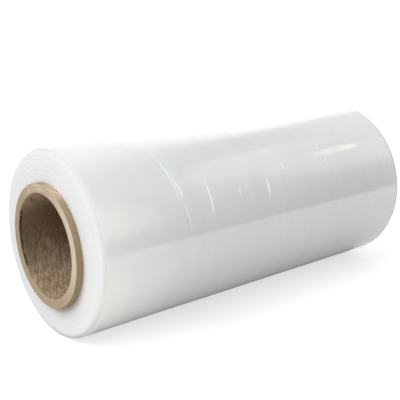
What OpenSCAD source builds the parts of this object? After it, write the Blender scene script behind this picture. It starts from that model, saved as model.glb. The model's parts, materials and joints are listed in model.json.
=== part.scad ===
// Hand roll of clear stretch film wound on a paperboard core, lying on its side.
// The roll's axis runs along X, halfway along the roll at X = 0. The ground is Z = 0.
// The end face at -X is called the near end, and the one at +X the far end.

/* [Film] */
// Width of the film web, end face to end face
film_width = 305; // [200:5:500]
// Depth of the wound turns over the core
film_build = 23.5; // [14:0.5:45]
// Radius that rounds the outer corner of each end face
edge_round = 4; // [2:0.5:6]
// Width of the strip that the resting roll presses flat
flat_width = 16; // [10:1:24]

/* [Turns] */
// Depth of one bundle of turns that shows as a ring on the end faces
turn_bundle = 1.3; // [1:0.1:3]
// Furthest that a bundle of turns lies back from the end face
turn_recess = 0.15; // [0.1:0.05:0.5]
// Pitch of the gauge bands that the winder leaves along the roll
band_pitch = 18; // [12:1:40]
// Depth of the gauge bands
band_depth = 0.12; // [0.05:0.01:0.3]
// Height of the free edge where the outermost turn ends
tail_step = 0.3; // [0.1:0.05:0.6]
// Place of that free edge round the roll, counted from the front (-Y) over the top
tail_angle = 205; // [190:1:240]
// Angle over which the outermost turn rises to its free edge
tail_span = 24; // [12:1:40]

/* [Creases] */
// Height of a crease that runs round the roll
crease_height = 0.35; // [0.1:0.05:0.8]
// Width of a crease where it leaves the side, at its highest point
crease_width = 1.2; // [0.6:0.1:3]
// Distance of each crease's middle from the near end face
crease_places = [69.3, 97, 151.5, 153, 174.3, 220.4, 222.3, 270.5]; // [10:0.1:300]
// Angle at which each crease starts, counted from the front (-Y) over the top
crease_starts = [26, 15, 64, 19, 33, 43, 26, 60]; // [0:1:90]
// Angle that each crease covers
crease_spans = [44, 23, 12, 14, 11, 11, 12, 8]; // [8:1:60]
// Distance that each crease drifts towards the near end between its start and its end
crease_drifts = [5.2, -0.9, -1.6, -0.8, -0.5, -0.9, -1.5, -0.8]; // [-6:0.1:6]

/* [Core] */
// Bore of the paperboard core
core_bore = 76.2; // [50:0.1:90]
// Wall of the core
core_wall = 6.9; // [4:0.1:12]
// Length of core that stands out of each end face
core_overhang = 5; // [2:0.5:15]
// Thickness of one ply of paperboard
ply = 0.86; // [0.5:0.02:1.5]
// Furthest that a ply lies back from the cut end of the core
ply_recess = 0.15; // [0.05:0.05:0.3]
// Chamfer where the cutting blade burred the core's rims
rim_chamfer = 0.4; // [0.2:0.1:0.8]

/* [Core seams and tears] */
// Width of the seam between two turns of the outer ply
seam_width = 0.7; // [0.3:0.1:1.5]
// Depth of that seam
seam_depth = 0.4; // [0.2:0.1:0.8]
// Angle between that seam and the core's axis
seam_lean = 65; // [45:1:70]
// Place of the seam round the near end, counted from the front (-Y) over the top
seam_angle = 84; // [0:1:360]
// Turn from the seam's place on the near end to its place on the far end
far_seam_turn = 140; // [0:1:360]
// Depth that the torn fibres of the bore's near rim reach into the wall
tear_reach = 0.9; // [0.4:0.1:1.5]
// Angle round the near end where the torn stretch starts
tear_start = 150; // [0:1:360]
// Angle that the torn stretch covers
tear_span = 78; // [20:1:120]
// Number of bites in the torn stretch
tear_bites = 7; // [1:1:12]

/* [Hidden] */

$fn = 180;
// Steps that make each rounded corner of the film's section
corner_steps = 8;
// Flat strips that make the rise of the outermost turn
tail_facets = 8;
// Share of a ring's width that slopes down to the next ring on each side
ring_slope = 0.12;
// Straight pieces that make the groove of the outer ply's seam follow the round core
seam_pieces = 3;
// Amount by which a cutting or joining shape passes the surface it works on
over = 1;
// Turn between one ring and the next that spreads their heights without a visible rhythm
golden_turn = 137.508;

core_r_in = core_bore / 2;
core_r_out = core_r_in + core_wall;
core_length = film_width + 2 * core_overhang;
film_r = core_r_out + film_build;
// Height of the roll's axis, so that the flat strip lies on the ground
axis_z = sqrt(film_r * film_r - flat_width * flat_width / 4);

// Height between 0 and 1 that looks random but is fixed for each index
function scatter(i) = (1 + sin(i * golden_turn + 40)) / 2;

// Number of equal rings near the wanted size between two radii
function ring_count(r1, r2, size) = max(1, round((r2 - r1) / size));

// Half outline of a wound end face at x_face: [radius, x] pairs, where each ring lies back by its own amount
function end_rings(r1, r2, size, recess, x_face) =
    let (n = ring_count(r1, r2, size), step = (r2 - r1) / n)
    [for (i = [0 : n - 1], side = [0, 1])
        let (edge = i + side, slope = edge == 0 || edge == n ? 0 : ring_slope * (1 - 2 * side))
        [r1 + (edge + slope) * step, x_face - recess * (i == n - 1 ? 0 : scatter(i))]];

// Quarter circle from the end face round to the side, without its first point
function round_corner(r, x_face, radius) =
    [for (k = [1 : corner_steps])
        let (a = 90 * k / corner_steps)
        [r - radius * (1 - sin(a)), x_face - radius * (1 - cos(a))]];

// Points along the side between the two corners, where every second one dips by the band's depth
function side_bands(r, x1, x2, pitch, depth) =
    let (n = max(1, round((x2 - x1) / pitch)))
    [for (i = [1 : 2 * n - 1])
        [r - (i % 2 == 1 ? depth * (0.4 + 0.6 * scatter(i)) : 0), x1 + (x2 - x1) * i / (2 * n)]];

// A list from its last item to its first
function backwards(list) = [for (i = [len(list) - 1 : -1 : 0]) list[i]];
// The same outline on the opposite end
function mirrored(list) = [for (p = list) [p[0], -p[1]]];

// Turns a shape made about Z so that it stands about the roll's axis
module on_axis() {
    translate([0, 0, axis_z]) rotate([0, 90, 0]) children();
}

// Section of the wound film between its bore and its side
module film_section() {
    x_face = film_width / 2;
    rings = end_rings(core_r_out, film_r - edge_round, turn_bundle, turn_recess, x_face);
    corner = round_corner(film_r, x_face, edge_round);
    half = concat(rings, corner);
    bands = side_bands(film_r, -x_face + edge_round, x_face - edge_round, band_pitch, band_depth);
    polygon(concat(half, backwards(bands), backwards(mirrored(half))));
}

// One crease: an arc of a smaller circle that leaves the side and meets it again
module crease(place, start, span, drift) {
    rise = crease_height;
    lean = atan(drift / (film_r * span * PI / 180));
    half_chord = film_r * sin(span / 2);
    height = film_r * (1 - cos(span / 2)) + rise;
    r = (half_chord * half_chord + height * height) / (2 * height);
    reach = 2 * asin(half_chord / r);
    x = -film_width / 2 + place;
    half_foot = crease_width / 2 * (rise + over) / rise;
    rotate([-(start + span / 2), 0, 0])
        translate([x, -(film_r + rise - r), 0])
        rotate([0, 90 - lean, 0])
        rotate([0, 0, 270 - reach / 2])
        rotate_extrude(angle = reach)
        polygon([[r - rise - over, -half_foot], [r, 0], [r - rise - over, half_foot]]);
}

// Point of a cross-section at radius r and an angle counted from the front (-Y) over the top
function around(r, angle) = [-r * cos(angle), r * sin(angle)];

// End of the outermost turn, which rises slowly out of the side and stops at its free edge
module tail() {
    rise = tail_step + band_depth;
    top = [for (k = [0 : tail_facets])
        around(film_r - band_depth + rise * k / tail_facets, tail_angle - tail_span * (1 - k / tail_facets))];
    foot = [around(film_r - over, tail_angle), around(film_r - over, tail_angle - tail_span)];
    rotate([90, 0, 90])
        linear_extrude(height = film_width - 2 * edge_round, center = true)
        polygon(concat(top, foot));
}

module film() {
    color("GhostWhite")
    intersection() {
        difference() {
            union() {
                on_axis() rotate_extrude() film_section();
                translate([0, 0, axis_z]) {
                    tail();
                    for (i = [0 : len(crease_places) - 1])
                        if (crease_places[i] < film_width - edge_round)
                            crease(crease_places[i], crease_starts[i], crease_spans[i], crease_drifts[i]);
                }
            }
            on_axis() cylinder(h = film_width + 2 * over, r = core_r_out, center = true);
        }
        translate([0, 0, film_r + over])
            cube([film_width + 2 * over, 2 * (film_r + over), 2 * (film_r + over)], center = true);
    }
}

// Section of the core's wall, with its plies as rings on both cut ends
module core_section() {
    x_face = core_length / 2;
    plies = end_rings(core_r_in + rim_chamfer, core_r_out - rim_chamfer, ply, ply_recess, x_face);
    half = concat([[core_r_in, x_face - rim_chamfer]], plies, [[core_r_out, x_face - rim_chamfer]]);
    polygon(concat(half, backwards(mirrored(half))));
}

// Groove where one turn of the outer ply butts against the next, across the bare core of one end
module outer_seam(x_side, angle) {
    reach = (core_overhang + 2 * over) / seam_pieces;
    turn = tan(seam_lean) / core_r_out * 180 / PI;
    for (i = [0 : seam_pieces - 1]) {
        inwards = reach * (i + 0.5) - over;
        rotate([-(angle + x_side * turn * inwards), 0, 0])
            translate([x_side * (core_length / 2 - inwards), -core_r_out, 0])
            rotate([0, seam_lean, 0])
            cube([reach / cos(seam_lean) + seam_width, 2 * seam_depth, seam_width], center = true);
    }
}

// Bites that torn fibres leave along the near rim of the bore, each of its own size
module torn_rim() {
    for (i = [0 : tear_bites - 1]) {
        bite = tear_reach * (0.6 + 0.4 * scatter(i));
        turn = tear_start + tear_span * (i + 0.7 * scatter(i + 3)) / tear_bites;
        rotate([-turn, 0, 0])
            translate([-core_length / 2, -core_r_in, 0])
            rotate([0, 90, 0])
            cylinder(h = 2 * bite + rim_chamfer, r = bite, center = true, $fn = 24);
    }
}

module core() {
    color("Tan")
    difference() {
        on_axis() rotate_extrude() core_section();
        translate([0, 0, axis_z]) {
            outer_seam(-1, seam_angle);
            outer_seam(1, seam_angle + far_seam_turn);
            torn_rim();
        }
    }
}

core();
film();
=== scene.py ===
import json
import math

import bpy
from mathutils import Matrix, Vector, noise

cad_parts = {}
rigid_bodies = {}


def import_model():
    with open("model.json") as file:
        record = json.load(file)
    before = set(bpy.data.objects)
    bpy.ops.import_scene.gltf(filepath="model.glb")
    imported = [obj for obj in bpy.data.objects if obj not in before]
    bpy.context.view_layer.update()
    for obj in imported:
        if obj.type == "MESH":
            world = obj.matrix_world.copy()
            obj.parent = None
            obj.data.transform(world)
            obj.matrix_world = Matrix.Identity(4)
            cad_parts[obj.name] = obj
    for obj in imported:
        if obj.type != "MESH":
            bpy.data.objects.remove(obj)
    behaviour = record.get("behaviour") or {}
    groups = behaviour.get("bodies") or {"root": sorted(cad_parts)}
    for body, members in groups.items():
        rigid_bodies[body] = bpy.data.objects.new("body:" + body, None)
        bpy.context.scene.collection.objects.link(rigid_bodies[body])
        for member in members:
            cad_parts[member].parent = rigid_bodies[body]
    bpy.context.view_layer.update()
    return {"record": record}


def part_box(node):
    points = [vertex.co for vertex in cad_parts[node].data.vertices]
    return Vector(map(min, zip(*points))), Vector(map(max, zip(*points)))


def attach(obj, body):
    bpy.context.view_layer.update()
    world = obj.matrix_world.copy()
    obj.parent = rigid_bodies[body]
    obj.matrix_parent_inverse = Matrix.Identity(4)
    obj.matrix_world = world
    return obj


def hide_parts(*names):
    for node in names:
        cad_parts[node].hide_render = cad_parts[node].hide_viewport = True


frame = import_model()

MM = 0.001


# Sizes read from the frame

film_low, film_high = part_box("film")
core_low, core_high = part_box("core")
bore_mount = next(m for m in frame["record"]["mounts"] if m["name"] == "core_bore")

film_width = film_high.x - film_low.x
core_length = core_high.x - core_low.x
axis_z = bore_mount["pos_m"][2]
film_r = film_high.z - axis_z
bore_r = bore_mount["dims"]["r_mm"] * MM
core_r = core_high.z - axis_z
axis = Vector((0, 0, axis_z))


# Sizes of the film's finer form

edge_round = 4 * MM
rim_segments = 8
film_sides = 320
ring_step = 1.3 * MM
ring_flank = 0.3 * MM
ring_recess = 0.06 * MM
hoop_step = 4 * MM
fine_hoop_step = 0.35 * MM
least_hoop_gap = 0.21 * MM
film_sharp_angle = 60

# Slow ripples: how far the surface sinks at most, how far down from the side the points follow, and the
# lengths and shares of the bands and the sway
ripple_depth = 0.4 * MM
ripple_reach = 1 * MM
band_length = 14 * MM
band_share = 0.14
sway_length = 60 * MM
sway_share = 0.4

# Creases: the highest one's height, and how far down from the side the points follow
crease_height = 0.6 * MM
crease_reach = 1.5 * MM
crease_half_width = 0.75 * MM
crease_wobble = 0.5 * MM

# One crease a line, in millimetres and degrees: place of its middle along X, angles of its two ends counted
# from the front over the top, drift along X between them, and height as a share of the highest one's,
# which is below 0 for a groove
creases = [
    (-84.0, 27, 70, 3.8, 0.7),
    (-80.4, 30, 50, 3.2, 0.8),
    (-80.2, 8, 28, 2.0, -0.55),
    (-56.0, 14, 42, 0.4, 0.7),
    (-27.8, 22, 31, 0.3, 0.4),
    (-3.4, 62, 74, 2.0, 0.9),
    (0.2, 19, 33, -0.4, 0.7),
    (20.9, 33, 44, 0.5, 0.8),
    (67.1, 42, 52, -0.6, 0.9),
    (68.6, 28, 39, 0.7, 0.7),
    (118.0, 60, 68, -0.8, 0.8),
]

# Free edge of the outermost turn, low on the back
tail_step = 0.3 * MM
tail_angle = 205
tail_span = 24
tail_edge = 0.15


# Sizes of the core's finer form

core_sides = 480
ply_step = 0.86 * MM
ply_flank_share = 0.24
ply_recess = 0.15 * MM
rim_chamfer = 0.4 * MM
bore_hoop_step = 6 * MM
end_hoop_step = 0.45 * MM
end_hoop_reach = 4 * MM
# Points this close to the core's outside or to its bore belong to it
outside_skin = 0.2 * MM
bore_skin = 0.1 * MM

# Seam of the outer ply across the bare core: angle where it starts on the near cut end, and its lean
seam_start = 84
seam_lean = 65
seam_depth = 0.5 * MM
seam_rise = 18
seam_line = 0.8
seam_darkness = 0.8
far_seam_turn = 140
bore_seam_start = 151
bore_seam_width = 0.5 * MM

# Torn stretch of the bore's near rim
tear_start = 147
tear_end = 219
tear_depth = 2.2 * MM
tear_shade_reach = 2.4 * MM
tear_shade_blur = 0.8 * MM

# Places closer than this count as the same
touching = 0.001 * MM
# The turn between one ring and the next that spreads their heights without a visible rhythm
golden_turn = 137.508
first_turn = 40


# Camera, as fitted to the photograph: angles in degrees, and the sensor in the camera's own millimetres

photo_size = 400
focal_pixels = 771
sensor_width = 36
camera_place = Vector((-392.9, -465.3, 249.7)) * MM
camera_heading = 38.95
camera_dip = 16.16


# Studio, in metres, degrees and watts: the table ends in front of the roll, and the room behind the camera
# is darker than the table

table_front = -0.49
table_depth = 40
table_width = 60
floor_glow = 0.9
contact_reach = 0.07
painted_shadow_share = 0.9
seen_painted_shadow_share = 0.3
pale_place = (-0.13, -0.07, 0)
pale_reach = 0.09
pale_full_reach = 0.027
sky_light = 0.4
key_strength = 1.35
key_spread = 50
key_from = (-0.68, 0.08, 0.73)
near_box_place = (-0.77, 0.08, 0.82)
near_box_size = 0.5
near_box_watts = 3.1
fill_strength = 0.9
fill_spread = 40
fill_from = (0.15, -0.98, 0.12)
low_box_place = (-0.18, -0.15, 0.008)
low_box_target = (-0.13, -0.03, 0.02)
low_box_size = 0.05
low_box_watts = 0.038
low_box_colour = "FFF2E6"

# The room's wall, whose shades change between the two heights or places of each pair
room_y = -1.2
room_left = -1.2
room_right = 3.0
room_bottom = -0.5
room_top = 2.0
room_blue_heights = (0.4, 1.1)
room_white_heights = (0.45, 1.2)
room_white_places = (1.35, 1.6)
curtain_places = (0.72, 0.5)
curtain_heights = (0.2, 0.45)
curtain_lean = 0.2
curtain_gain = 0.45

# The ceiling has a darker patch whose slanting edge shows in the film as a long border
ceiling_right = 3.5
ceiling_back = 2.5
ceiling_edge = (1.417, -0.358)
ceiling_edge_blur = 0.03
ceiling_turn = 35
patch_left = 1.45
patch_left_blur = 0.05
patch_right_places = (1.6, 2.3)
patch_depth = 1.5
patch_full_depth = 0.45

# A warm lamp that shows in the film as a short highlight
warm_lamp_place = (1.243, -0.535, 1.05)
warm_lamp_size = (0.173, 0.28)
warm_lamp_tilt = 26
warm_lamp_yaw = 10
warm_lamp_radiance = 5
warm_lamp_least_radiance = 3
warm_lamp_mottle = 0.05
warm_lamp_hot_spot = (1.28, -0.52, 1.055)
warm_lamp_hot_reach = 0.06
warm_lamp_cooler_share = 0.5

# A bright window behind the roll, which bleaches the top of the film
window_y = 1.0
window_left = 0.25
window_right = 2.1
window_top = 0.68
window_slant = 1.0
window_gain = 0.9
window_left_fade = 0.8
window_right_fade = 0.62
window_top_fade = 0.85


def set_camera():
    """The place and lens that put the roll where the photograph has it."""
    camera = bpy.data.cameras.new("camera")
    camera.sensor_width = sensor_width
    camera.lens = focal_pixels / photo_size * sensor_width
    holder = bpy.data.objects.new("camera", camera)
    bpy.context.scene.collection.objects.link(holder)
    heading = math.radians(camera_heading)
    dip = math.radians(camera_dip)
    ahead = Vector((math.sin(heading) * math.cos(dip), math.cos(heading) * math.cos(dip), -math.sin(dip)))
    holder.location = camera_place
    holder.rotation_mode = "QUATERNION"
    holder.rotation_quaternion = ahead.to_track_quat("-Z", "Y")
    bpy.context.scene.camera = holder


# Helpers for modelling

def deselect_all():
    """Clears the selection, so that an operator works on the new piece alone."""
    for other in bpy.context.view_layer.objects:
        other.select_set(False)


def start_piece(name):
    """Names the primitive that was just added and settles its place in its mesh."""
    piece = bpy.context.object
    piece.name = name
    piece.data.name = name
    bpy.ops.object.transform_apply(location=True, rotation=True, scale=True)
    return piece


def select_faces(piece, wanted):
    """In edit mode, leaves selected only the faces that pass the test."""
    bpy.ops.mesh.select_mode(type="FACE")
    bpy.ops.mesh.select_all(action="DESELECT")
    bpy.ops.object.mode_set(mode="OBJECT")
    for face in piece.data.polygons:
        face.select = wanted(face)
    bpy.ops.object.mode_set(mode="EDIT")


def select_edges(piece, wanted):
    """In edit mode, leaves selected only the edges whose two end points pass the test."""
    bpy.ops.mesh.select_mode(type="EDGE")
    bpy.ops.mesh.select_all(action="DESELECT")
    bpy.ops.object.mode_set(mode="OBJECT")
    points = piece.data.vertices
    for edge in piece.data.edges:
        edge.select = wanted(points[edge.vertices[0]].co, points[edge.vertices[1]].co)
    bpy.ops.object.mode_set(mode="EDIT")


def select_points(piece, wanted):
    """In edit mode, leaves selected only the points that pass the test."""
    bpy.ops.mesh.select_mode(type="VERT")
    bpy.ops.mesh.select_all(action="DESELECT")
    bpy.ops.object.mode_set(mode="OBJECT")
    for point in piece.data.vertices:
        point.select = wanted(point.co)
    bpy.ops.object.mode_set(mode="EDIT")


def distance_from_axis(place):
    return math.hypot(place.y, place.z - axis_z)


def angle_over_top(place):
    """Angle round the roll in degrees, counted from the front (-Y) over the top."""
    return math.degrees(math.atan2(place.z - axis_z, -place.y))


def is_end_face(face):
    """Whether a face is the flat lid of a cylinder: it alone looks along X and has over four corners."""
    looks_along = abs(face.normal.x) > 0.999
    return looks_along and len(face.vertices) > 4


def round_end_rims(piece, length, amount, segments):
    """In edit mode, rounds the two outer rims of a cylinder."""
    def on_rim(a, b):
        return abs(abs(a.x) - length / 2) < touching and abs(a.x - b.x) < touching

    select_edges(piece, on_rim)
    bpy.ops.mesh.bevel(offset=amount, offset_type="OFFSET", segments=segments, profile=0.5)


def open_bore():
    """In edit mode, turns the two selected lids into one bore that runs through the piece."""
    bpy.ops.mesh.delete(type="FACE")
    bpy.ops.mesh.select_mode(type="EDGE")
    bpy.ops.mesh.select_non_manifold()
    bpy.ops.mesh.bridge_edge_loops()


def cut_hoop(x):
    """In edit mode, cuts a hoop of edges round the whole piece at x."""
    bpy.ops.mesh.select_all(action="SELECT")
    bpy.ops.mesh.bisect(plane_co=(x, 0, 0), plane_no=(1, 0, 0))


def cut_lengthwise(piece, angle):
    """In edit mode, cuts the back of the piece from end to end at an angle over the top."""
    turn = math.radians(angle)
    select_faces(piece, lambda face: face.center.y > 0)
    bpy.ops.mesh.bisect(plane_co=axis, plane_no=(0, math.sin(turn), math.cos(turn)))


def scatter(index):
    """Height between 0 and 1 that looks random but is fixed for each index."""
    return (1 + math.sin(math.radians(index * golden_turn + first_turn))) / 2


def waver(*place):
    """Smooth noise around 0, reaching about 1 either way. Spare coordinates only pick a stretch of it."""
    return noise.noise(Vector(place))


def paint(piece, name, share):
    """Stores the share at each point of the surface, for the material to read."""
    values = piece.data.attributes.new(name, "FLOAT", "POINT")
    for point in piece.data.vertices:
        values.data[point.index].value = share(point.co)


def lift(piece, name, weight, height):
    """Moves the surface along its normals by the weight at each point times the height."""
    group = piece.vertex_groups.new(name=name)
    for point in piece.data.vertices:
        share = weight(point.co)
        if share > 0:
            group.add([point.index], share, "REPLACE")
    displace = piece.modifiers.new(name, "DISPLACE")
    displace.direction = "NORMAL"
    displace.mid_level = 0
    displace.strength = height
    displace.vertex_group = name
    bpy.context.view_layer.objects.active = piece
    bpy.ops.object.modifier_apply(modifier=name)
    piece.vertex_groups.remove(piece.vertex_groups[name])


# The film

def crease_share(place, grooves):
    """How much of the crease height the surface has at a place, for the ridges or for the grooves."""
    if distance_from_axis(place) < film_r - crease_reach:
        return 0
    wobble_turn = 5
    uneven_turn = 3
    fullness = 0.7
    angle = angle_over_top(place)
    share = 0
    for x_middle, start, end, drift, size in creases:
        along = (angle - start) / (end - start)
        if (size < 0) != grooves or not 0 < along < 1:
            continue
        wobble = waver(x_middle, angle / wobble_turn, 0.5) * crease_wobble
        x_crest = (x_middle + drift * (0.5 - along)) * MM + wobble
        off = abs(place.x - x_crest) / crease_half_width
        if off < 1:
            uneven = 0.75 + 0.5 * waver(x_middle, angle / uneven_turn, 4.5)
            swell = math.sin(math.pi * along) ** fullness
            share = max(share, abs(size) * uneven * (1 - off) * swell)
    return min(1, share)


def ripple_share(place):
    """Gentle waves of the wound side: gauge bands along the roll and a slower sway round it."""
    if distance_from_axis(place) < film_r - ripple_reach:
        return 0
    angle = math.radians(angle_over_top(place))
    bands = waver(place.x / band_length, 0.3 * math.cos(angle), 0.3 * math.sin(angle))
    sway = waver(place.x / sway_length, 1.5 * math.cos(angle), 1.5 * math.sin(angle))
    return min(1, max(0, 0.5 + band_share * bands + sway_share * sway))


def tail_share(place):
    """How far the outermost turn has risen towards its free edge."""
    angle = angle_over_top(place) % 360
    start = tail_angle - tail_span
    past_edge = angle > tail_angle + tail_edge / 2
    if angle < start or past_edge or abs(place.x) > film_width / 2 - edge_round:
        return 0
    return (angle - start) / tail_span


def hoop_places():
    """Places along X where the side is cut: even steps, and fine ones where creases run."""
    steps = round((film_width - 2 * edge_round) / hoop_step)
    first = -film_width / 2 + edge_round
    places = [first + (film_width - 2 * edge_round) * i / steps for i in range(1, steps)]
    for x_middle, _, _, drift, _ in creases:
        half = abs(drift) * MM / 2 + crease_half_width + crease_wobble / 2
        count = round(2 * half / fine_hoop_step)
        places += [x_middle * MM - half + 2 * half * i / count for i in range(count + 1)]
    places.sort()
    kept = [places[0]]
    for x in places[1:]:
        if x - kept[-1] > least_hoop_gap:
            kept.append(x)
    return kept


def make_film():
    """The wound film: a cylinder with rounded rims, rings on its ends, creases on its side and a bore."""
    deselect_all()
    bpy.ops.mesh.primitive_cylinder_add(
        vertices=film_sides, radius=film_r, depth=film_width, end_fill_type="NGON",
        location=axis, rotation=(0, math.pi / 2, 0))
    film = start_piece("film_roll")
    bpy.ops.object.mode_set(mode="EDIT")
    round_end_rims(film, film_width, edge_round, rim_segments)

    # The side is cut before the bore is opened, so the bore stays one plain strip
    for x in hoop_places():
        cut_hoop(x)

    select_faces(film, is_end_face)
    build = film_r - edge_round - core_r
    rings = round(build / ring_step)
    step = build / rings
    level = 0
    # From the outside inwards each ring lies back by its own amount, over a sloped flank
    for ring_inside in range(rings - 2, -1, -1):
        bpy.ops.mesh.inset(thickness=step - ring_flank, depth=0, use_individual=True)
        target = -ring_recess * scatter(ring_inside)
        bpy.ops.mesh.inset(thickness=ring_flank, depth=target - level, use_individual=True)
        level = target
    bpy.ops.mesh.inset(thickness=step, depth=0, use_individual=True)
    open_bore()

    cut_lengthwise(film, tail_angle)
    cut_lengthwise(film, tail_angle + tail_edge)
    bpy.ops.object.mode_set(mode="OBJECT")

    # The crease heights are stored for the material, which paints highlights on the ridges and shade in the
    # grooves
    paint(film, "painted_fold_light", lambda place: crease_share(place, False) - crease_share(place, True))
    lift(film, "ripples", ripple_share, -ripple_depth)
    lift(film, "ridges", lambda place: crease_share(place, False), crease_height)
    lift(film, "grooves", lambda place: crease_share(place, True), -crease_height)
    lift(film, "tail", tail_share, tail_step)

    # What lies below the ground is pressed flat onto it
    bpy.ops.object.mode_set(mode="EDIT")
    select_points(film, lambda place: place.z < 0)
    bpy.ops.transform.resize(value=(1, 1, 0), center_override=(0, 0, 0))
    bpy.ops.object.mode_set(mode="OBJECT")
    bpy.ops.object.shade_smooth_by_angle(angle=math.radians(film_sharp_angle))
    return film


# The core

def past_seam(place):
    """Degrees by which a place on the bare core lies past the outer ply's seam, or None elsewhere."""
    inwards = core_length / 2 - abs(place.x)
    overhang = (core_length - film_width) / 2
    if distance_from_axis(place) < core_r - outside_skin or inwards > overhang:
        return None
    side = 1 if place.x > 0 else -1
    start = seam_start if side < 0 else seam_start + far_seam_turn
    lean = math.degrees(math.tan(math.radians(seam_lean)) / core_r) * inwards * side
    past = start + lean - angle_over_top(place)
    return (past + 180) % 360 - 180


def seam_share(place):
    """How deep the ply beside the seam lies: deepest at the seam, and level with the rest further round."""
    past = past_seam(place)
    if past is None or not 0 < past < seam_rise:
        return 0
    return 1 - past / seam_rise


def tear_share(place):
    """How far the near rim of the bore is torn back at a place."""
    inwards = place.x + core_length / 2
    if inwards > tear_depth or distance_from_axis(place) > bore_r + 2 * rim_chamfer:
        return 0
    angle = angle_over_top(place) % 360
    if not tear_start < angle < tear_end:
        return 0
    coarse_turn = 6
    fine_turn = 2
    start_fade = 8
    end_fade = 4
    coarse = waver(angle / coarse_turn, 3.1, 0.7)
    fine = waver(angle / fine_turn, 0.4, 5.2)
    fade = min(1, (angle - tear_start) / start_fade, (tear_end - angle) / end_fade)
    ragged = 0.5 + 0.5 * coarse + 0.5 * fine
    return min(1, max(0, fade * ragged)) * (1 - inwards / tear_depth)


def gap_share(place):
    """How dark the core is at a place: under the torn fibres and along the outer seam."""
    past = past_seam(place)
    if past is not None:
        return seam_darkness * max(0, 1 - abs(past - seam_line) / seam_line)
    inwards = place.x + core_length / 2
    angle = angle_over_top(place) % 360
    in_bore = distance_from_axis(place) < bore_r + bore_skin
    if not in_bore or not tear_start < angle < tear_end or inwards > tear_shade_reach:
        return 0
    coarse_turn = 5
    fine_turn = 1.5
    start_fade = 6
    end_fade = 2
    coarse = waver(angle / coarse_turn, 7.3, 1.9)
    fine = waver(angle / fine_turn, 2.2, 8.1)
    fade = min(1, (angle - tear_start) / start_fade, (tear_end - angle) / end_fade)
    edge = tear_shade_reach * fade * (1.15 + 0.5 * coarse + 0.4 * fine)
    return min(1, max(0, (edge - inwards) / tear_shade_blur))


def core_hoop_places():
    """Places along X where the core is cut: fine near both ends and coarse between."""
    fine = round(end_hoop_reach / end_hoop_step)
    near = [rim_chamfer + end_hoop_reach * i / fine for i in range(1, fine + 1)]
    long_way = core_length - 2 * near[-1]
    coarse = round(long_way / bore_hoop_step)
    places = near + [near[-1] + long_way * i / coarse for i in range(1, coarse)]
    places += [core_length - x for x in near]
    return [x - core_length / 2 for x in places]


def make_core():
    """The paperboard tube: plies on its cut ends, the outer ply's seam, and a torn stretch of its rim."""
    deselect_all()
    bpy.ops.mesh.primitive_cylinder_add(
        vertices=core_sides, radius=core_r, depth=core_length, end_fill_type="NGON",
        location=axis, rotation=(0, math.pi / 2, 0))
    core = start_piece("core_tube")
    bpy.ops.object.mode_set(mode="EDIT")
    round_end_rims(core, core_length, rim_chamfer, 2)

    select_faces(core, is_end_face)
    wall = core_r - bore_r - 2 * rim_chamfer
    plies = round(wall / ply_step)
    step = wall / plies
    level = 0
    for ply_inside in range(plies - 2, -1, -1):
        target = -ply_recess * scatter(ply_inside)
        flank = step * ply_flank_share
        bpy.ops.mesh.inset(thickness=step - flank, depth=0, use_individual=True)
        bpy.ops.mesh.inset(thickness=flank, depth=target - level, use_individual=True)
        level = target
    bpy.ops.mesh.inset(thickness=step, depth=0, use_individual=True)
    bpy.ops.mesh.inset(thickness=rim_chamfer, depth=-rim_chamfer - level, use_individual=True)
    open_bore()
    for x in core_hoop_places():
        cut_hoop(x)
    bpy.ops.object.mode_set(mode="OBJECT")

    paint(core, "gap", gap_share)
    lift(core, "outer_seam", seam_share, -seam_depth)
    lift(core, "torn_rim", tear_share, -tear_depth)
    bpy.ops.object.shade_smooth()
    return core


# Materials

# Settings that many nodes share
SMOOTH = {"interpolation_type": "SMOOTHSTEP"}
PLUS = {"operation": "ADD"}
MINUS = {"operation": "SUBTRACT"}
TIMES = {"operation": "MULTIPLY"}
LARGER = {"operation": "MAXIMUM"}
UNSIGNED = {"operation": "ABSOLUTE"}
DISTANCE = {"operation": "DISTANCE"}
ALONG = {"operation": "DOT_PRODUCT"}


def linear(hex_colour):
    """Turns an sRGB colour such as 'C8B79C' into the linear values that a shader takes."""
    values = []
    for i in (0, 2, 4):
        v = int(hex_colour[i:i + 2], 16) / 255
        values.append(v / 12.92 if v <= 0.04045 else ((v + 0.055) / 1.055) ** 2.4)
    return (*values, 1)


def add_node(tree, kind, settings=None, inputs=None):
    """Adds a shader node, sets its properties, and gives its inputs values or links from other nodes."""
    node = tree.nodes.new("ShaderNode" + kind)
    for key, value in (settings or {}).items():
        setattr(node, key, value)
    for key, value in (inputs or {}).items():
        if isinstance(value, bpy.types.NodeSocket):
            tree.links.new(value, node.inputs[key])
        else:
            node.inputs[key].default_value = value
    return node


def new_material(name):
    material = bpy.data.materials.new(name)
    material.use_nodes = True
    material.node_tree.nodes.clear()
    return material, material.node_tree


def lay_over(tree, tone, colour, value, none_at, most_at, most=1.0):
    """Lays a colour over a tone: none of it where the value is none_at, and the most where it is most_at."""
    share = add_node(tree, "MapRange", SMOOTH, {
        "Value": value, "From Min": none_at, "From Max": most_at, "To Max": most}).outputs[0]
    return add_node(tree, "MixRGB", inputs={0: share, 1: tone, 2: linear(colour)}).outputs[0]


def place_on_roll(tree):
    """Outputs that both materials start from: the place measured from the roll's axis, its x, y and z, and
    its distance from the axis."""
    place = add_node(tree, "TexCoord").outputs["Object"]
    from_axis = add_node(tree, "VectorMath", MINUS, {0: place, 1: axis}).outputs[0]
    parts = add_node(tree, "SeparateXYZ", inputs={0: from_axis}).outputs
    across = add_node(tree, "VectorMath", TIMES, {0: from_axis, 1: (0, 1, 1)}).outputs[0]
    radius = add_node(tree, "VectorMath", {"operation": "LENGTH"}, {0: across}).outputs["Value"]
    return {"place": from_axis, "x": parts["X"], "y": parts["Y"], "z": parts["Z"], "radius": radius}


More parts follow.
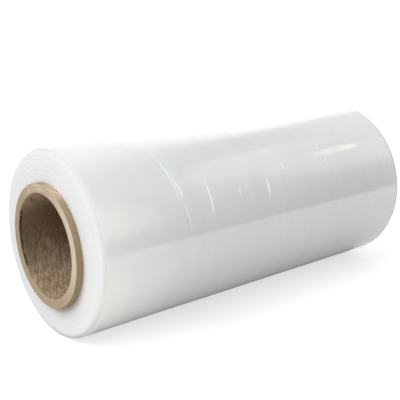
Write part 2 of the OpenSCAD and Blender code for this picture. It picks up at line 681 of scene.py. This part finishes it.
def film_material():
    """Clear stretch film wound tight: milky and matte on the cut ends, grey and glossy on the side.

    The ends look whiter because light scatters between thousands of web edges. The side shows the room in
    its clear outermost turn, over a softer gloss from the turns below."""
    gauge_band_size = 9 * MM
    ring_size = 1.6 * MM
    cloud_size = 35 * MM
    wrinkle_size = 5 * MM
    painted_end_glow_reach = 60 * MM
    painted_end_glow_share = 0.3
    back_and_up = (0, 0.38, 0.92)
    least_painted_corner_shade = 0.03
    most_painted_corner_shade = 0.65
    half = film_width / 2

    material, tree = new_material("wound_polyethylene_film")
    roll = place_on_roll(tree)
    reach = add_node(tree, "Math", UNSIGNED, {0: roll["x"]}).outputs[0]
    end = add_node(tree, "MapRange", SMOOTH, {
        "Value": reach, "From Min": half - 0.6 * edge_round, "From Max": half - 0.2 * MM}).outputs[0]

    # Gauge bands run round the roll, so this noise changes along it and hardly round it
    along = add_node(tree, "VectorMath", TIMES, {0: roll["place"], 1: (1, 0.08, 0.08)}).outputs[0]
    bands = add_node(tree, "TexNoise", inputs={
        "Vector": along, "Scale": 1 / gauge_band_size, "Detail": 3.0}).outputs["Fac"]
    side_tone = lay_over(tree, linear("E6E7E7"), "E9EAEA", bands, 0.3, 0.7)
    # The side is painted paler close to the cut ends: a painted glow standing in for light that enters the
    # cut ends and comes out of the side
    side_tone = lay_over(tree, side_tone, "FDFCF8", reach, half - painted_end_glow_reach, half, painted_end_glow_share)
    # Ridges are painted whiter as a painted highlight, and grooves, with their turns pressed together, are
    # painted darker as painted shade
    painted_fold_light = add_node(tree, "Attribute", {"attribute_name": "painted_fold_light"}).outputs["Fac"]
    side_tone = lay_over(tree, side_tone, "FFFFFF", painted_fold_light, 0.08, 0.4)
    side_tone = lay_over(tree, side_tone, "CBCCCD", painted_fold_light, -0.08, -0.5)

    # Turns that lie a little prouder or deeper show as rings, so this noise depends on the radius alone
    rings = add_node(tree, "TexNoise", {"noise_dimensions": "1D"}, {
        "W": roll["radius"], "Scale": 1 / ring_size, "Detail": 2.0}).outputs["Fac"]
    end_tone = lay_over(tree, linear("F5F6F6"), "F8F9F9", rings, 0.3, 0.7)
    tone = add_node(tree, "MixRGB", inputs={0: end, 1: side_tone, 2: end_tone}).outputs[0]

    # Round the outer corner the tone is painted greyer than the end face, most of all towards the top and
    # the back: painted shade that holds down the light the lamps put on the rounded corner
    near_end = add_node(tree, "MapRange", SMOOTH, {
        "Value": reach, "From Min": half - 1.5 * edge_round, "From Max": half - 0.5 * edge_round}).outputs[0]
    near_side = add_node(tree, "MapRange", SMOOTH, {
        "Value": roll["radius"], "From Min": film_r - 1.2 * edge_round,
        "From Max": film_r - 0.3 * edge_round}).outputs[0]
    corner = add_node(tree, "Math", TIMES, {0: near_end, 1: near_side}).outputs[0]
    upwards = add_node(tree, "VectorMath", ALONG, {0: roll["place"], 1: back_and_up}).outputs["Value"]
    painted_corner_shade = add_node(tree, "MapRange", inputs={
        "Value": upwards, "From Min": -film_r, "From Max": film_r,
        "To Min": least_painted_corner_shade, "To Max": most_painted_corner_shade}).outputs[0]
    corner = add_node(tree, "Math", TIMES, {0: corner, 1: painted_corner_shade}).outputs[0]
    tone = add_node(tree, "MixRGB", inputs={0: corner, 1: tone, 2: linear("CFD0D0")}).outputs[0]

    # The side is rougher in clouds, where the turns cling less evenly, and the cut ends have no gloss
    clouds = add_node(tree, "TexNoise", inputs={
        "Vector": roll["place"], "Scale": 1 / cloud_size, "Detail": 2.0}).outputs["Fac"]
    side_rough = add_node(tree, "MapRange", inputs={
        "Value": clouds, "To Min": 0.16, "To Max": 0.26}).outputs[0]
    rough = add_node(tree, "MapRange", inputs={
        "Value": near_end, "To Min": side_rough, "To Max": 0.85}).outputs[0]
    coat = add_node(tree, "MapRange", inputs={"Value": near_end, "To Min": 1.0, "To Max": 0.0}).outputs[0]

    # The clinging web has long shallow wrinkles along its wrap, which make mirrored lines waver
    wrapped = add_node(tree, "VectorMath", TIMES, {0: roll["place"], 1: (1, 0.25, 0.25)}).outputs[0]
    wrinkles = add_node(tree, "TexNoise", inputs={
        "Vector": wrapped, "Scale": 1 / wrinkle_size, "Detail": 2.0}).outputs["Fac"]
    relief = add_node(tree, "MixRGB", inputs={0: end, 1: wrinkles, 2: rings}).outputs[0]
    bump = add_node(tree, "Bump", inputs={"Strength": 0.15, "Distance": 0.12 * MM, "Height": relief})
    shader = add_node(tree, "BsdfPrincipled", inputs={
        "Base Color": tone, "Roughness": rough, "IOR": 1.5, "Coat Weight": coat, "Coat IOR": 1.5,
        "Coat Roughness": 0.05, "Subsurface Weight": 0.35, "Subsurface Radius": (1.0, 0.97, 0.93),
        "Subsurface Scale": 15 * MM, "Normal": bump.outputs[0]})
    add_node(tree, "OutputMaterial", inputs={"Surface": shader.outputs["BSDF"]})
    return material


def paperboard_material():
    """Unbleached paperboard wound in a spiral and glued: pale on its sawn ends, olive brown outside, and
    darker and fibrous in the bore, where the plies are bare."""
    fibre_width = 2.0 * MM
    fibre_stretch = 0.5
    blotch_size = 6 * MM
    speck_size = 0.9 * MM
    saw_size = 8 * MM
    stain_reach = 16 * MM
    stain_place = (-core_length / 2 + 1.5 * MM, -core_r * 0.3, core_r * 0.95)
    dark_patch_reach = 24 * MM
    dark_patch_place = (-core_length / 2, bore_r * 0.97, -bore_r * 0.25)
    middle_r = (core_r + bore_r) / 2

    material, tree = new_material("spiral_wound_paperboard")
    roll = place_on_roll(tree)

    # Coordinates that turn with the winding, so that fibres and seams run along the spiral
    twist = math.tan(math.radians(seam_lean)) / middle_r
    turn = add_node(tree, "Math", TIMES, {0: roll["x"], 1: -twist}).outputs[0]
    wound = add_node(tree, "VectorRotate", {"rotation_type": "X_AXIS"}, {
        "Vector": roll["place"], "Angle": turn}).outputs[0]
    along = add_node(tree, "VectorMath", TIMES, {0: wound, 1: (fibre_stretch, 1, 1)}).outputs[0]
    fibres = add_node(tree, "TexNoise", inputs={
        "Vector": along, "Scale": 1 / fibre_width, "Detail": 3.0, "Roughness": 0.55,
        "Distortion": 0.9}).outputs["Fac"]
    blotches = add_node(tree, "TexNoise", inputs={
        "Vector": roll["place"], "Scale": 1 / blotch_size, "Detail": 4.0, "Roughness": 0.6}).outputs["Fac"]
    specks = add_node(tree, "TexNoise", inputs={
        "Vector": roll["place"], "Scale": 1 / speck_size, "Detail": 3.0, "Roughness": 0.6}).outputs["Fac"]

    # The bore's ply shows more pale fibres towards the bottom
    pale_fibres_below = add_node(tree, "MapRange", SMOOTH, {
        "Value": roll["z"], "From Min": 0.2 * bore_r, "From Max": -0.35 * bore_r, "To Min": 0.12}).outputs[0]
    bore_tone = lay_over(tree, linear("917A60"), "C4AD8F", fibres, 0.45, 0.62, pale_fibres_below)
    # Its top is paler
    bore_tone = lay_over(tree, bore_tone, "DCC1A4", roll["z"], 0.3 * bore_r, 0.95 * bore_r)
    # The bore is darker behind the torn rim, and has darker blotches elsewhere
    from_tear = add_node(tree, "VectorMath", DISTANCE, {0: roll["place"], 1: dark_patch_place}).outputs["Value"]
    bore_tone = lay_over(tree, bore_tone, "6B5743", from_tear, dark_patch_reach, 0.2 * dark_patch_reach, 0.6)
    bore_tone = lay_over(tree, bore_tone, "75604A", blotches, 0.52, 0.7, 0.65)

    # It shows one open seam between two turns, which starts at the near rim
    seam_turn = math.radians(180 - bore_seam_start) - twist * core_length / 2
    across_seam = (0, math.sin(seam_turn), -math.cos(seam_turn))
    towards_seam = (0, math.cos(seam_turn), math.sin(seam_turn))
    across = add_node(tree, "VectorMath", ALONG, {0: wound, 1: across_seam}).outputs["Value"]
    towards = add_node(tree, "VectorMath", ALONG, {0: wound, 1: towards_seam}).outputs["Value"]
    off_seam = add_node(tree, "Math", UNSIGNED, {0: across}).outputs[0]
    on_seam = add_node(tree, "MapRange", SMOOTH, {
        "Value": off_seam, "From Min": bore_seam_width, "From Max": 0.1 * MM}).outputs[0]
    this_side = add_node(tree, "Math", {"operation": "GREATER_THAN"}, {0: towards, 1: 0.0}).outputs[0]
    seam = add_node(tree, "Math", TIMES, {0: on_seam, 1: this_side}).outputs[0]
    bore_tone = add_node(tree, "MixRGB", inputs={0: seam, 1: bore_tone, 2: linear("4A3A2A")}).outputs[0]

    side_tone = lay_over(tree, linear("938165"), "A89475", fibres, 0.3, 0.7)
    # Its front is painted darker, as painted shade
    side_tone = lay_over(tree, side_tone, "7E6D55", roll["y"], -0.5 * core_r, -core_r, 0.25)
    # Bare fibres show where the outer ply was scraped near the cut
    from_stain = add_node(tree, "VectorMath", DISTANCE, {0: roll["place"], 1: stain_place}).outputs["Value"]
    side_tone = lay_over(tree, side_tone, "C8AE91", from_stain, stain_reach, 0.2 * stain_reach, 0.8)

    # On the sawn ends each ply shows as a ring, and the saw leaves some parts paler
    plies = add_node(tree, "TexNoise", {"noise_dimensions": "1D"}, {
        "W": roll["radius"], "Scale": 1 / ply_step, "Detail": 1.0}).outputs["Fac"]
    cut_tone = lay_over(tree, linear("C0AB93"), "CFBAA2", plies, 0.35, 0.65)
    saw = add_node(tree, "TexNoise", inputs={
        "Vector": roll["place"], "Scale": 1 / saw_size, "Detail": 3.0}).outputs["Fac"]
    cut_tone = lay_over(tree, cut_tone, "D8C5AD", saw, 0.45, 0.75)
    # The front is paler, and the back and the bottom are browner
    cut_tone = lay_over(tree, cut_tone, "E3D1BB", roll["y"], -0.2 * core_r, -0.9 * core_r, 0.85)
    cut_tone = lay_over(tree, cut_tone, "A8936F", roll["y"], 0.1 * core_r, 0.9 * core_r, 0.8)
    cut_tone = lay_over(tree, cut_tone, "AD957A", roll["z"], 0.0, -0.9 * core_r, 0.75)

    outside = add_node(tree, "MapRange", SMOOTH, {
        "Value": roll["radius"], "From Min": core_r - 0.5 * MM, "From Max": core_r - 0.1 * MM}).outputs[0]
    in_bore = add_node(tree, "MapRange", SMOOTH, {
        "Value": roll["radius"], "From Min": bore_r + 0.5 * MM, "From Max": bore_r + 0.1 * MM}).outputs[0]
    tone = add_node(tree, "MixRGB", inputs={0: outside, 1: cut_tone, 2: side_tone}).outputs[0]
    tone = add_node(tree, "MixRGB", inputs={0: in_bore, 1: tone, 2: bore_tone}).outputs[0]
    # Pale dust and loose fibres lie on all of it
    tone = lay_over(tree, tone, "E2D2B8", specks, 0.5, 0.8, 0.12)
    # Shade gathers under torn fibres and in the outer seam
    gap = add_node(tree, "Attribute", {"attribute_name": "gap"}).outputs["Fac"]
    tone = add_node(tree, "MixRGB", inputs={0: gap, 1: tone, 2: linear("3E2E1F")}).outputs[0]

    fibre_relief = add_node(tree, "Math", TIMES, {0: fibres, 1: 0.7}).outputs[0]
    speck_relief = add_node(tree, "Math", TIMES, {0: specks, 1: 0.3}).outputs[0]
    relief = add_node(tree, "Math", PLUS, {0: fibre_relief, 1: speck_relief}).outputs[0]
    bump = add_node(tree, "Bump", inputs={"Strength": 0.5, "Distance": 0.3 * MM, "Height": relief})
    shader = add_node(tree, "BsdfPrincipled", inputs={
        "Base Color": tone, "Roughness": 0.85, "IOR": 1.5, "Normal": bump.outputs[0]})
    add_node(tree, "OutputMaterial", inputs={"Surface": shader.outputs["BSDF"]})
    return material


# Floor, studio and lamps

def seen_directly(tree):
    """1 for rays from the camera and those that gloss or glass send on, 0 for those that only give light."""
    path = add_node(tree, "LightPath").outputs
    seen = path["Is Camera Ray"]
    for kind in ("Is Glossy Ray", "Is Transmission Ray"):
        seen = add_node(tree, "Math", LARGER, {0: seen, 1: path[kind]}).outputs[0]
    return seen


def add_card(name, place, size, turn):
    """Adds a flat rectangle to the studio, as staging."""
    deselect_all()
    bpy.ops.mesh.primitive_plane_add(size=1, location=place, rotation=turn)
    card = bpy.context.object
    card.name = name
    card.scale = (*size, 1)
    bpy.ops.object.transform_apply(location=True, rotation=True, scale=True)
    return card


def finish_card(card, material, shader):
    """Ends a card's material in its shader, and leaves the card to be seen by gloss alone."""
    add_node(material.node_tree, "OutputMaterial", inputs={"Surface": shader})
    card.data.materials.append(material)
    card.visible_camera = False
    card.visible_diffuse = False
    card.visible_shadow = False


def make_floor():
    """The white table: its own glow keeps it white where it is seen, and it keeps the roll's shadow."""
    middle = (0, table_front + table_depth / 2, 0)
    floor = add_card("table_top", middle, (table_width, table_depth), (0, 0, 0))
    material, tree = new_material("white_table_paper")
    # The table is palest beside the roll's near end, and sends light up under it from there
    place = add_node(tree, "TexCoord").outputs["Object"]
    from_pale = add_node(tree, "VectorMath", DISTANCE, {0: place, 1: pale_place}).outputs["Value"]
    paper = lay_over(tree, linear("9E9E9E"), "B2B2B2", from_pale, pale_reach, pale_full_reach)
    diffuse = add_node(tree, "BsdfDiffuse", inputs={"Color": paper}).outputs[0]
    # The glow that keeps the table white fades under the roll as a painted contact shadow, less for the
    # camera than for gloss
    camera_ray = add_node(tree, "LightPath").outputs["Is Camera Ray"]
    contact = add_node(tree, "AmbientOcclusion", {"samples": 8}, {"Distance": contact_reach}).outputs["AO"]
    darkest = add_node(tree, "MapRange", inputs={
        "Value": camera_ray, "To Min": floor_glow * (1 - painted_shadow_share),
        "To Max": floor_glow * (1 - seen_painted_shadow_share)}).outputs[0]
    strength = add_node(tree, "MapRange", inputs={
        "Value": contact, "To Min": darkest, "To Max": floor_glow}).outputs[0]
    glow = add_node(tree, "Emission", inputs={"Color": linear("FFFFFF"), "Strength": strength}).outputs[0]
    both = add_node(tree, "AddShader", inputs={0: diffuse, 1: glow}).outputs[0]
    mixed = add_node(tree, "MixShader", inputs={0: seen_directly(tree), 1: diffuse, 2: both})
    add_node(tree, "OutputMaterial", inputs={"Surface": mixed.outputs[0]})
    floor.data.materials.append(material)


def make_room_card():
    """The room behind the camera, which the glossy side of the roll reflects as a darker band."""
    card = add_card("room_card", ((room_left + room_right) / 2, room_y, (room_bottom + room_top) / 2),
                    (room_right - room_left, room_top - room_bottom), (math.pi / 2, 0, 0))
    material, tree = new_material("room_card_shades")
    place = add_node(tree, "TexCoord").outputs["Object"]
    parts = add_node(tree, "SeparateXYZ", inputs={0: place}).outputs
    shade = lay_over(tree, linear("4E5356"), "8995A7", parts["Z"], *room_blue_heights)

    # High up on the right the wall is white
    low, high = room_white_heights
    white_height = add_node(tree, "MapRange", SMOOTH, {
        "Value": parts["Z"], "From Min": low, "From Max": high}).outputs[0]
    grey_to, white_from = room_white_places
    white_side = add_node(tree, "MapRange", SMOOTH, {
        "Value": parts["X"], "From Min": grey_to, "From Max": white_from}).outputs[0]
    white = add_node(tree, "Math", TIMES, {0: white_height, 1: white_side}).outputs[0]
    shade = add_node(tree, "MixRGB", inputs={0: white, 1: shade, 2: linear("FFFFFF")}).outputs[0]

    # A warm lit curtain at the left has a leaning edge
    lean = add_node(tree, "Math", TIMES, {0: parts["Z"], 1: curtain_lean}).outputs[0]
    leaning = add_node(tree, "Math", MINUS, {0: parts["X"], 1: lean}).outputs[0]
    edge, full = curtain_places
    warm_side = add_node(tree, "MapRange", SMOOTH, {
        "Value": leaning, "From Min": edge, "From Max": full}).outputs[0]
    low, high = curtain_heights
    warm_height = add_node(tree, "MapRange", SMOOTH, {
        "Value": parts["Z"], "From Min": low, "From Max": high}).outputs[0]
    warm = add_node(tree, "Math", TIMES, {0: warm_side, 1: warm_height}).outputs[0]
    shade = add_node(tree, "MixRGB", inputs={0: warm, 1: shade, 2: linear("FFF7E2")}).outputs[0]
    strength = add_node(tree, "MapRange", inputs={
        "Value": warm, "To Min": 1.0, "To Max": 1.0 + curtain_gain}).outputs[0]
    glow = add_node(tree, "Emission", inputs={"Color": shade, "Strength": strength})
    finish_card(card, material, glow.outputs[0])


def make_ceiling_card():
    """The ceiling, white but for a darker patch whose borders the top of the roll reflects."""
    middle = ((room_left + ceiling_right) / 2, (room_y + ceiling_back) / 2, room_top)
    card = add_card("ceiling_card", middle, (ceiling_right - room_left, ceiling_back - room_y), (0, 0, 0))
    turn = math.radians(ceiling_turn)
    inwards = (-math.sin(turn), math.cos(turn), 0)
    edge = ceiling_edge[0] * inwards[0] + ceiling_edge[1] * inwards[1]
    material, tree = new_material("ceiling_card_shade")
    place = add_node(tree, "TexCoord").outputs["Object"]
    across = add_node(tree, "SeparateXYZ", inputs={0: place}).outputs["X"]
    inside = add_node(tree, "VectorMath", ALONG, {0: place, 1: inwards}).outputs["Value"]
    past_edge = add_node(tree, "MapRange", SMOOTH, {
        "Value": inside, "From Min": edge - ceiling_edge_blur,
        "From Max": edge + ceiling_edge_blur}).outputs[0]
    at_left = add_node(tree, "MapRange", SMOOTH, {
        "Value": across, "From Min": patch_left + patch_left_blur,
        "From Max": patch_left - patch_left_blur}).outputs[0]
    patch = add_node(tree, "Math", LARGER, {0: past_edge, 1: at_left}).outputs[0]
    fade = add_node(tree, "MapRange", SMOOTH, {
        "Value": inside, "From Min": edge + patch_depth, "From Max": edge + patch_full_depth}).outputs[0]
    fading = add_node(tree, "Math", TIMES, {0: patch, 1: fade}).outputs[0]
    # To the right the patch ends in a soft border, and the rest of the ceiling gets a little darker
    patch_tone = lay_over(tree, linear("8995A7"), "EEF0F2", across, *patch_right_places)
    plain_tone = lay_over(tree, linear("FFFFFF"), "D8DCE0", across, *patch_right_places)
    shade = add_node(tree, "MixRGB", inputs={0: fading, 1: plain_tone, 2: patch_tone}).outputs[0]
    glow = add_node(tree, "Emission", inputs={"Color": shade})
    finish_card(card, material, glow.outputs[0])


def make_warm_lamp_card():
    """A warm lamp with one hot spot behind a mottled shade, which fades towards its long edges."""
    tilt = math.radians(warm_lamp_tilt)
    yaw = math.radians(warm_lamp_yaw)
    card = add_card("warm_lamp_card", warm_lamp_place, warm_lamp_size, (tilt, 0, yaw))
    half_depth = warm_lamp_size[1] / 2 * math.cos(tilt)
    backwards = (-math.sin(yaw), math.cos(yaw), 0)
    material, tree = new_material("warm_lamp_shade")
    place = add_node(tree, "TexCoord").outputs["Object"]
    from_spot = add_node(tree, "VectorMath", DISTANCE, {0: place, 1: warm_lamp_hot_spot}).outputs["Value"]
    hot = add_node(tree, "MapRange", SMOOTH, {
        "Value": from_spot, "From Min": 0.0, "From Max": warm_lamp_hot_reach,
        "To Min": 1.0, "To Max": warm_lamp_cooler_share}).outputs[0]
    from_middle = add_node(tree, "VectorMath", MINUS, {0: place, 1: warm_lamp_place}).outputs[0]
    back = add_node(tree, "VectorMath", ALONG, {0: from_middle, 1: backwards}).outputs["Value"]
    off_line = add_node(tree, "Math", UNSIGNED, {0: back}).outputs[0]
    inner = add_node(tree, "MapRange", SMOOTH, {
        "Value": off_line, "From Min": half_depth, "From Max": half_depth / 2}).outputs[0]
    brighter = add_node(tree, "Math", TIMES, {0: hot, 1: inner}).outputs[0]
    mottle = add_node(tree, "TexNoise", inputs={
        "Vector": place, "Scale": 1 / warm_lamp_mottle, "Detail": 2.0}).outputs["Fac"]
    uneven = add_node(tree, "MapRange", SMOOTH, {
        "Value": mottle, "From Min": 0.35, "From Max": 0.6,
        "To Min": warm_lamp_least_radiance, "To Max": warm_lamp_radiance}).outputs[0]
    strength = add_node(tree, "Math", TIMES, {0: brighter, 1: uneven}).outputs[0]
    glow = add_node(tree, "Emission", inputs={"Color": linear("FFF6E4"), "Strength": strength})
    finish_card(card, material, glow.outputs[0])


def make_window_card():
    """Light that a bright window adds to the white behind the roll, with soft borders and a slanting top."""
    middle = ((window_left + window_right) / 2, window_y, room_top / 2)
    card = add_card("window_card", middle, (window_right - window_left, room_top), (math.pi / 2, 0, 0))
    material, tree = new_material("window_glare")
    place = add_node(tree, "TexCoord").outputs["Object"]
    parts = add_node(tree, "SeparateXYZ", inputs={0: place}).outputs
    rise = add_node(tree, "Math", TIMES, {0: parts["X"], 1: window_slant}).outputs[0]
    height = add_node(tree, "Math", MINUS, {0: parts["Z"], 1: rise}).outputs[0]
    strength = window_gain
    for value, border, full in (
            (parts["X"], window_left, window_left + window_left_fade),
            (parts["X"], window_right, window_right - window_right_fade),
            (height, window_top, window_top - window_top_fade)):
        share = add_node(tree, "MapRange", SMOOTH, {
            "Value": value, "From Min": border, "From Max": full}).outputs[0]
        strength = add_node(tree, "Math", TIMES, {0: strength, 1: share}).outputs[0]
    glow = add_node(tree, "Emission", inputs={"Color": linear("FFFFFF"), "Strength": strength}).outputs[0]
    clear = add_node(tree, "BsdfTransparent").outputs[0]
    both = add_node(tree, "AddShader", inputs={0: clear, 1: glow})
    finish_card(card, material, both.outputs[0])


def make_world():
    """A sky that lights the roll softly, and is plain white where it is seen."""
    world = bpy.data.worlds.new("studio")
    bpy.context.scene.world = world
    world.use_nodes = True
    tree = world.node_tree
    tree.nodes.clear()
    light = add_node(tree, "Background", inputs={"Color": linear("F7F9FB"), "Strength": sky_light})
    white = add_node(tree, "Background", inputs={"Color": linear("FFFFFF"), "Strength": 1})
    mixed = add_node(tree, "MixShader", inputs={
        0: seen_directly(tree), 1: light.outputs[0], 2: white.outputs[0]})
    add_node(tree, "OutputWorld", inputs={"Surface": mixed.outputs[0]})


def add_lamp(name, kind, place, source):
    """Adds a lamp at a place, turned so that its light comes from where the source vector points."""
    lamp = bpy.data.lights.new(name, kind)
    holder = bpy.data.objects.new(name, lamp)
    bpy.context.scene.collection.objects.link(holder)
    holder.location = place
    holder.rotation_mode = "QUATERNION"
    holder.rotation_quaternion = Vector(source).to_track_quat("Z", "Y")
    return holder


def add_sun(name, strength, spread, source):
    """A lamp so far off that it lights the roll and the table evenly, as wide in the sky as the spread."""
    sun = add_lamp(name, "SUN", (0, 0, 0), source)
    sun.data.energy = strength
    sun.data.angle = math.radians(spread)


def add_box_lamp(name, place, target, size, watts):
    """A softbox close to the roll, so that its light falls off along the roll."""
    box = add_lamp(name, "AREA", place, Vector(place) - Vector(target))
    box.data.energy = watts
    box.data.size = size
    return box


def make_studio():
    make_floor()
    make_room_card()
    make_ceiling_card()
    make_warm_lamp_card()
    make_window_card()
    make_world()
    add_sun("key_softbox", key_strength, key_spread, key_from)
    add_sun("fill_softbox", fill_strength, fill_spread, fill_from)
    add_box_lamp("near_softbox", near_box_place, axis, near_box_size, near_box_watts)
    low_box = add_box_lamp("low_softbox", low_box_place, low_box_target, low_box_size, low_box_watts)
    low_box.data.color = linear(low_box_colour)[:3]
    low_box.visible_camera = False
    low_box.visible_glossy = False


# Making

set_camera()

film = make_film()
film.data.materials.append(film_material())
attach(film, "root")
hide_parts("film")

core = make_core()
core.data.materials.append(paperboard_material())
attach(core, "root")
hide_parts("core")

make_studio()
bpy.context.scene.view_settings.view_transform = "Standard"
